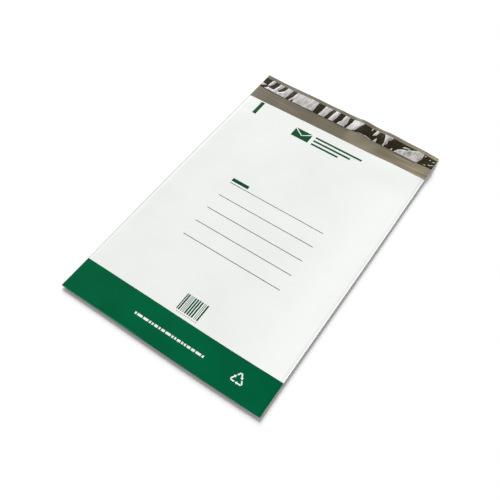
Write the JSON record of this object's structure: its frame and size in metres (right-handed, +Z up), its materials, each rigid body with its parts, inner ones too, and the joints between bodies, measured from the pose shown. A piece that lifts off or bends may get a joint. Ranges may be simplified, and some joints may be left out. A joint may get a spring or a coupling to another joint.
{
  "type": "poly mailer bag",
  "caption": "Empty plastic film mailing bag, folded at the bottom and sealed at the sides, with an adhesive closing lip under a release liner.",
  "frame": {"origin": "centre of the bag's outline, at the surface that it lies on", "axes": "+X across the bag, +Y from the bottom fold towards the lip, +Z up from the front panel"},
  "size_m": [0.25, 0.4, 0.0053],
  "materials": {
    "film": "white co-extruded polythene film with a satin sheen, taupe inside, green print",
    "adhesive": "clear tacky hot-melt adhesive",
    "liner": "glossy crinkled release film"
  },
  "bodies": {
    "root": {"film_bag": "film", "adhesive_strip": "adhesive", "release_liner": "liner"}
  },
  "joints": []
}
